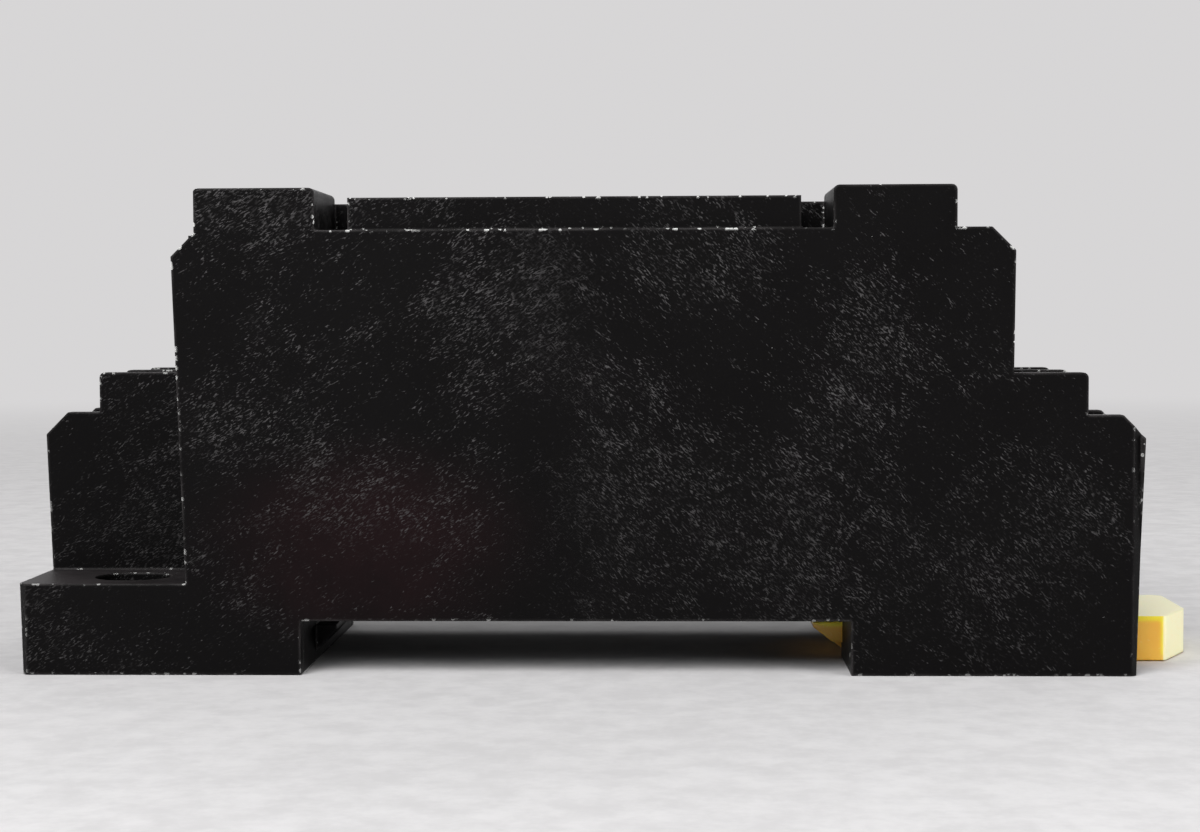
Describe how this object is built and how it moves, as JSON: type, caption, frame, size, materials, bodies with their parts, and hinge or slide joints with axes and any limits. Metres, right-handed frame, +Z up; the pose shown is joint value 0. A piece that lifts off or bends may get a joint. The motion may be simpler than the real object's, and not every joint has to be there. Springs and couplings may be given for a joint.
{
  "type": "relay socket",
  "caption": "Rail-mounted screw-terminal socket for a plug-in relay, with tiered terminals, blade slots and a sprung rail latch.",
  "frame": {"origin": "middle of the rail seat, the ceiling of the rail slot", "axes": "+X along the socket towards the latch, +Y from the side with the hook end's fixing notch to the other side, +Z up away from the rail"},
  "size_m": [0.0774, 0.023, 0.0313],
  "materials": {
    "housing_plastic": "black moulded plastic, semi-matt, finely scuffed",
    "cover_plastic": "black moulded plastic",
    "latch_plastic": "orange moulded plastic, satin",
    "spring_steel": "drawn spring wire",
    "contact_brass": "stamped brass strip, tinned thinly",
    "washer_steel": "zinc-plated steel",
    "screw_steel": "nickel-plated steel"
  },
  "bodies": {
    "socket": {"housing": "housing_plastic", "base_cover": "cover_plastic", "latch_spring": "spring_steel", "terminal_strip_1": "contact_brass", "terminal_strip_2": "contact_brass", "terminal_strip_3": "contact_brass", "terminal_strip_4": "contact_brass", "terminal_strip_5": "contact_brass", "terminal_strip_6": "contact_brass", "terminal_strip_7": "contact_brass", "terminal_strip_8": "contact_brass"},
    "latch": {"rail_latch": "latch_plastic"},
    "clamp_1": {"clamp_washer_1": "washer_steel"},
    "screw_1": {"terminal_screw_1": "screw_steel"},
    "clamp_2": {"clamp_washer_2": "washer_steel"},
    "screw_2": {"terminal_screw_2": "screw_steel"},
    "clamp_3": {"clamp_washer_3": "washer_steel"},
    "screw_3": {"terminal_screw_3": "screw_steel"},
    "clamp_4": {"clamp_washer_4": "washer_steel"},
    "screw_4": {"terminal_screw_4": "screw_steel"},
    "clamp_5": {"clamp_washer_5": "washer_steel"},
    "screw_5": {"terminal_screw_5": "screw_steel"},
    "clamp_6": {"clamp_washer_6": "washer_steel"},
    "screw_6": {"terminal_screw_6": "screw_steel"},
    "clamp_7": {"clamp_washer_7": "washer_steel"},
    "screw_7": {"terminal_screw_7": "screw_steel"},
    "clamp_8": {"clamp_washer_8": "washer_steel"},
    "screw_8": {"terminal_screw_8": "screw_steel"}
  },
  "joints": [
    {"name": "latch_slide", "type": "slide", "parent": "socket", "child": "latch", "axis": [1, 0, 0], "range_m": [0, 0.0025], "stiffness_N_per_m": 400, "deforming": ["latch_spring"]},
    {"name": "clamp_lift_1", "type": "slide", "parent": "socket", "child": "clamp_1", "axis": [0, 0, 1], "range_m": [0, 0.0025]},
    {"name": "screw_turn_1", "type": "hinge", "parent": "clamp_1", "child": "screw_1", "pos_m": [-0.0215, -0.0075, 0.02425], "axis": [0, 0, 1], "range_deg": [0, 1800]},
    {"name": "clamp_lift_2", "type": "slide", "parent": "socket", "child": "clamp_2", "axis": [0, 0, 1], "range_m": [0, 0.0025]},
    {"name": "screw_turn_2", "type": "hinge", "parent": "clamp_2", "child": "screw_2", "pos_m": [-0.0215, 0.0075, 0.02425], "axis": [0, 0, 1], "range_deg": [0, 1800]},
    {"name": "clamp_lift_3", "type": "slide", "parent": "socket", "child": "clamp_3", "axis": [0, 0, 1], "range_m": [0, 0.0025]},
    {"name": "screw_turn_3", "type": "hinge", "parent": "clamp_3", "child": "screw_3", "pos_m": [0.0215, -0.0075, 0.02425], "axis": [0, 0, 1], "range_deg": [0, 1800]},
    {"name": "clamp_lift_4", "type": "slide", "parent": "socket", "child": "clamp_4", "axis": [0, 0, 1], "range_m": [0, 0.0025]},
    {"name": "screw_turn_4", "type": "hinge", "parent": "clamp_4", "child": "screw_4", "pos_m": [0.0215, 0.0075, 0.02425], "axis": [0, 0, 1], "range_deg": [0, 1800]},
    {"name": "clamp_lift_5", "type": "slide", "parent": "socket", "child": "clamp_5", "axis": [0, 0, 1], "range_m": [0, 0.0025]},
    {"name": "screw_turn_5", "type": "hinge", "parent": "clamp_5", "child": "screw_5", "pos_m": [-0.0298, 0.0075, 0.0123], "axis": [0, 0, 1], "range_deg": [0, 1800]},
    {"name": "clamp_lift_6", "type": "slide", "parent": "socket", "child": "clamp_6", "axis": [0, 0, 1], "range_m": [0, 0.0025]},
    {"name": "screw_turn_6", "type": "hinge", "parent": "clamp_6", "child": "screw_6", "pos_m": [-0.0298, 0.0005, 0.0123], "axis": [0, 0, 1], "range_deg": [0, 1800]},
    {"name": "clamp_lift_7", "type": "slide", "parent": "socket", "child": "clamp_7", "axis": [0, 0, 1], "range_m": [0, 0.0025]},
    {"name": "screw_turn_7", "type": "hinge", "parent": "clamp_7", "child": "screw_7", "pos_m": [0.0298, -0.0075, 0.0123], "axis": [0, 0, 1], "range_deg": [0, 1800]},
    {"name": "clamp_lift_8", "type": "slide", "parent": "socket", "child": "clamp_8", "axis": [0, 0, 1], "range_m": [0, 0.0025]},
    {"name": "screw_turn_8", "type": "hinge", "parent": "clamp_8", "child": "screw_8", "pos_m": [0.0298, -0.0005, 0.0123], "axis": [0, 0, 1], "range_deg": [0, 1800]}
  ],
  "couplings": [
    {"joint": "screw_turn_1", "follows": "clamp_lift_1", "rad_per_m": 12566},
    {"joint": "screw_turn_2", "follows": "clamp_lift_2", "rad_per_m": 12566},
    {"joint": "screw_turn_3", "follows": "clamp_lift_3", "rad_per_m": 12566},
    {"joint": "screw_turn_4", "follows": "clamp_lift_4", "rad_per_m": 12566},
    {"joint": "screw_turn_5", "follows": "clamp_lift_5", "rad_per_m": 12566},
    {"joint": "screw_turn_6", "follows": "clamp_lift_6", "rad_per_m": 12566},
    {"joint": "screw_turn_7", "follows": "clamp_lift_7", "rad_per_m": 12566},
    {"joint": "screw_turn_8", "follows": "clamp_lift_8", "rad_per_m": 12566}
  ]
}
